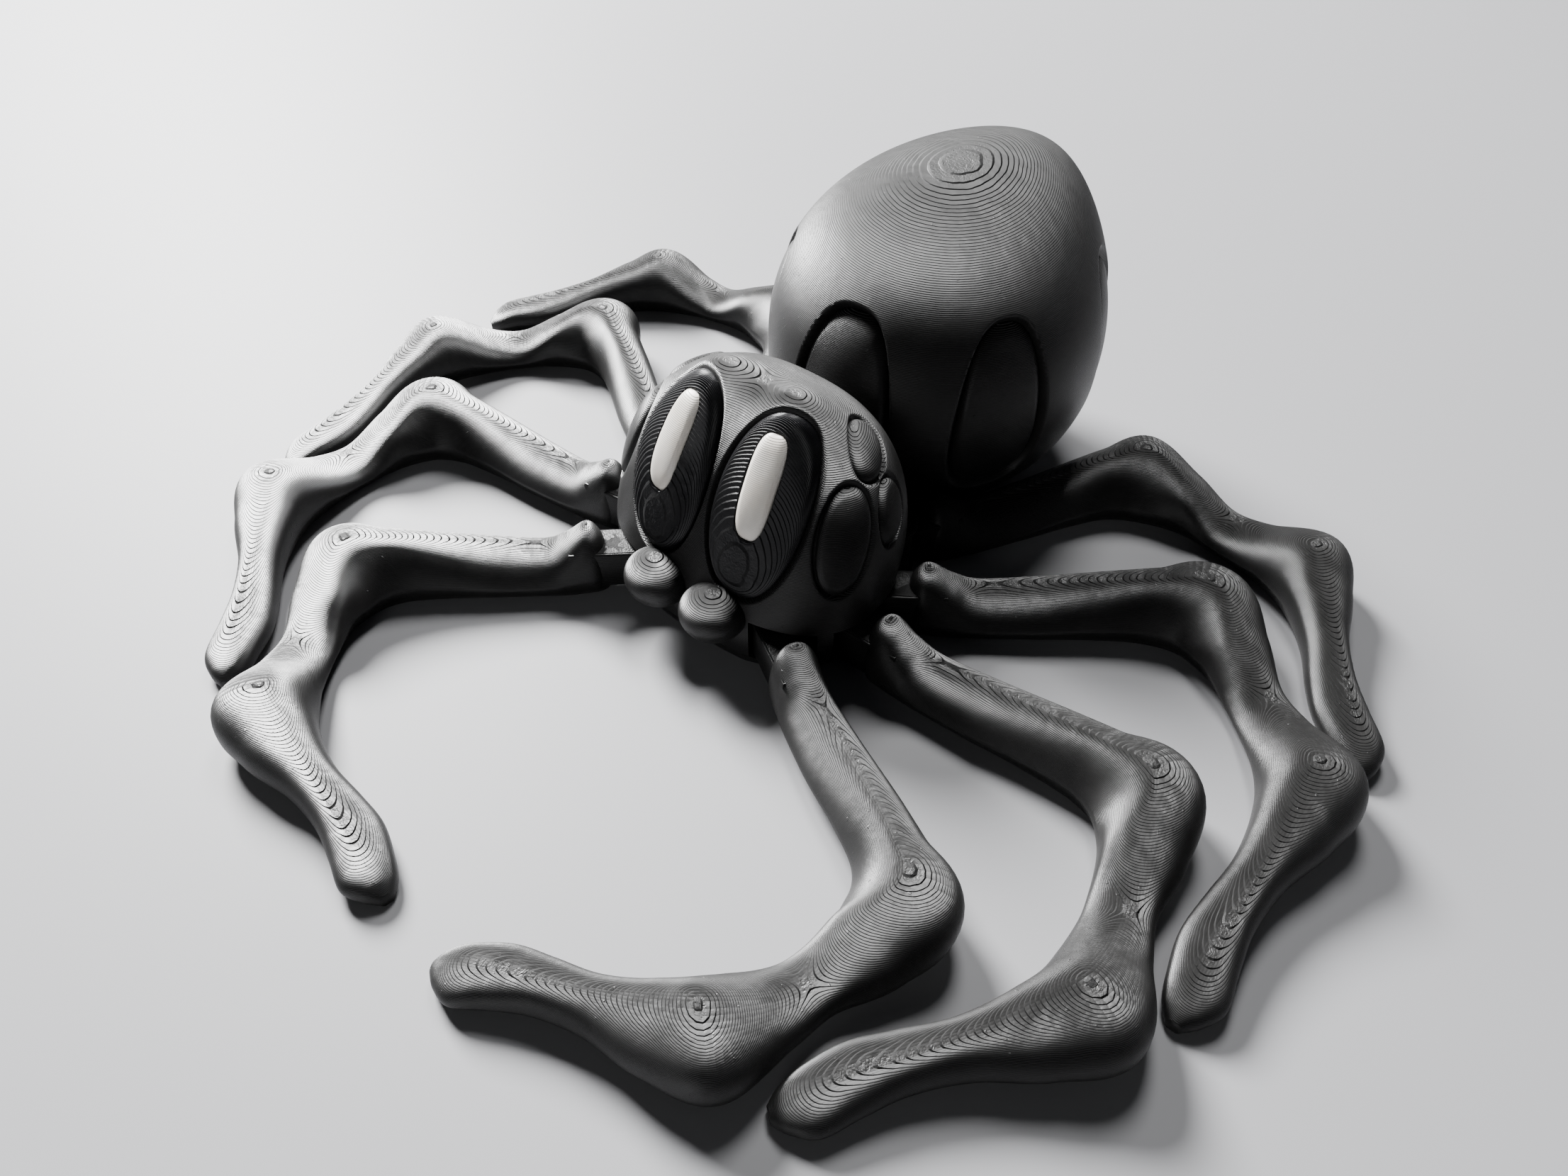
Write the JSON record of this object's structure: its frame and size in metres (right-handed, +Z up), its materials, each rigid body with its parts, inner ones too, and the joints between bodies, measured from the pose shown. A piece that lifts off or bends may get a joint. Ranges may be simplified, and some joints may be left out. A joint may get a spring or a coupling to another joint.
{
  "type": "articulated spider figure",
  "caption": "Printed plastic spider figure: domed head with inlaid eyes, egg-shaped abdomen on a waist hinge, and flat-lying bent legs that swing on vertical hip pins.",
  "frame": {"origin": "on the flat underside of the chest plate, in the middle of the head, level with the surface the figure stands on", "axes": "+Z up; the figure faces -Y, its abdomen is towards +Y, and its left legs are on the -X side"},
  "size_m": [0.1629, 0.1394, 0.0483],
  "materials": {
    "charcoal_plastic": "satin charcoal with fine horizontal layer lines",
    "black_gloss_plastic": "black, smoother and glossier than the body, with layer lines",
    "ivory_plastic": "smooth warm white",
    "pin_plastic": "plain dark grey"
  },
  "bodies": {
    "head": {"head_shell": "charcoal_plastic", "sternum_plate": "charcoal_plastic", "fang_left": "charcoal_plastic", "fang_right": "charcoal_plastic", "big_eye_left": "black_gloss_plastic", "big_eye_right": "black_gloss_plastic", "pupil_left": "ivory_plastic", "pupil_right": "ivory_plastic", "side_eye_front_left": "charcoal_plastic", "side_eye_front_right": "charcoal_plastic", "side_eye_upper_left": "charcoal_plastic", "side_eye_upper_right": "charcoal_plastic", "side_eye_rear_left": "charcoal_plastic", "side_eye_rear_right": "charcoal_plastic", "hip_pin_left_1": "pin_plastic", "hip_pin_left_2": "pin_plastic", "hip_pin_left_3": "pin_plastic", "hip_pin_left_4": "pin_plastic", "hip_pin_right_1": "pin_plastic", "hip_pin_right_2": "pin_plastic", "hip_pin_right_3": "pin_plastic", "hip_pin_right_4": "pin_plastic", "waist_pin": "pin_plastic"},
    "abdomen": {"abdomen_shell": "charcoal_plastic", "abdomen_panel_front": "charcoal_plastic", "abdomen_panel_right_front": "charcoal_plastic", "abdomen_panel_right_rear": "charcoal_plastic", "abdomen_panel_rear": "charcoal_plastic", "abdomen_panel_left_rear": "charcoal_plastic", "abdomen_panel_left_front": "charcoal_plastic"},
    "leg_left_1": {"leg_left_1": "charcoal_plastic"},
    "leg_left_2": {"leg_left_2": "charcoal_plastic"},
    "leg_left_3": {"leg_left_3": "charcoal_plastic"},
    "leg_left_4": {"leg_left_4": "charcoal_plastic"},
    "leg_right_1": {"leg_right_1": "charcoal_plastic"},
    "leg_right_2": {"leg_right_2": "charcoal_plastic"},
    "leg_right_3": {"leg_right_3": "charcoal_plastic"},
    "leg_right_4": {"leg_right_4": "charcoal_plastic"}
  },
  "joints": [
    {"name": "hip_left_1", "type": "hinge", "parent": "head", "child": "leg_left_1", "pos_m": [-0.01165, -0.0117, 0.005], "axis": [0, 0, 1], "range_deg": [-3, 6]},
    {"name": "hip_left_2", "type": "hinge", "parent": "head", "child": "leg_left_2", "pos_m": [-0.0164, -0.0047, 0.005], "axis": [0, 0, 1], "range_deg": [-1, 2.4]},
    {"name": "hip_left_3", "type": "hinge", "parent": "head", "child": "leg_left_3", "pos_m": [-0.0164, 0.0012, 0.005], "axis": [0, 0, 1], "range_deg": [-5.5, 1]},
    {"name": "hip_left_4", "type": "hinge", "parent": "head", "child": "leg_left_4", "pos_m": [-0.0123, 0.0122, 0.005], "axis": [0, 0, 1], "range_deg": [-3, 4.5]},
    {"name": "hip_right_1", "type": "hinge", "parent": "head", "child": "leg_right_1", "pos_m": [0.01165, -0.0117, 0.005], "axis": [0, 0, -1], "range_deg": [-1.5, 5]},
    {"name": "hip_right_2", "type": "hinge", "parent": "head", "child": "leg_right_2", "pos_m": [0.0164, -0.0047, 0.005], "axis": [0, 0, -1], "range_deg": [-1, 1]},
    {"name": "hip_right_3", "type": "hinge", "parent": "head", "child": "leg_right_3", "pos_m": [0.0164, 0.0012, 0.005], "axis": [0, 0, -1], "range_deg": [-1, 1]},
    {"name": "hip_right_4", "type": "hinge", "parent": "head", "child": "leg_right_4", "pos_m": [0.0123, 0.0122, 0.005], "axis": [0, 0, -1], "range_deg": [-1, 0.5]},
    {"name": "waist", "type": "hinge", "parent": "head", "child": "abdomen", "pos_m": [0, 0.0046, 0.005], "axis": [0, 0, 1], "range_deg": [-0.5, 1.2]}
  ]
}
